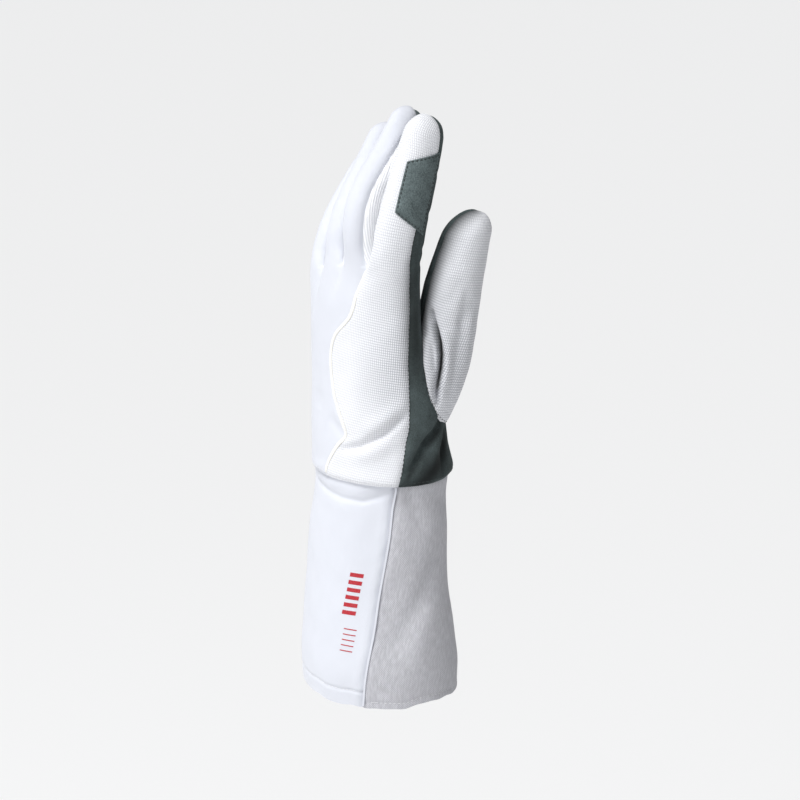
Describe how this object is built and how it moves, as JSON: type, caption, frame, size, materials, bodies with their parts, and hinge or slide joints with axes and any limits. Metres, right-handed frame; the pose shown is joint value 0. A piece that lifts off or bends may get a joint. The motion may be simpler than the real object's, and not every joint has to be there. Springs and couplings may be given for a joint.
{
  "type": "fencing glove",
  "caption": "Left-hand fencing glove with knit back, suede palm, ribbed strips between the fingers and a long flared cuff, in its worn shape",
  "frame": {"origin": "middle of the cuff's open mouth", "axes": "+Z runs from the mouth up to the fingertips, -Y is the back of the hand, +X is the thumb side"},
  "size_m": [0.1092, 0.0827, 0.3414],
  "materials": {
    "square_knit": "white square knit",
    "smooth_knit": "smooth white knit",
    "ribbed_knit": "white ribbed knit",
    "woven": "fine white weave",
    "suede": "dark grey-green suede"
  },
  "bodies": {
    "root": {"back_panel": "square_knit", "back_pad": "smooth_knit", "back_seam": "smooth_knit", "palm_panel": "suede", "index_patch": "suede", "fourchette_index_middle": "ribbed_knit", "fourchette_middle_ring": "ribbed_knit", "fourchette_ring_little": "ribbed_knit", "thumb_outer": "square_knit", "thumb_inner": "suede", "cuff_back": "smooth_knit", "cuff_front": "woven", "cuff_piping": "smooth_knit", "cuff_hem": "woven"}
  },
  "joints": []
}
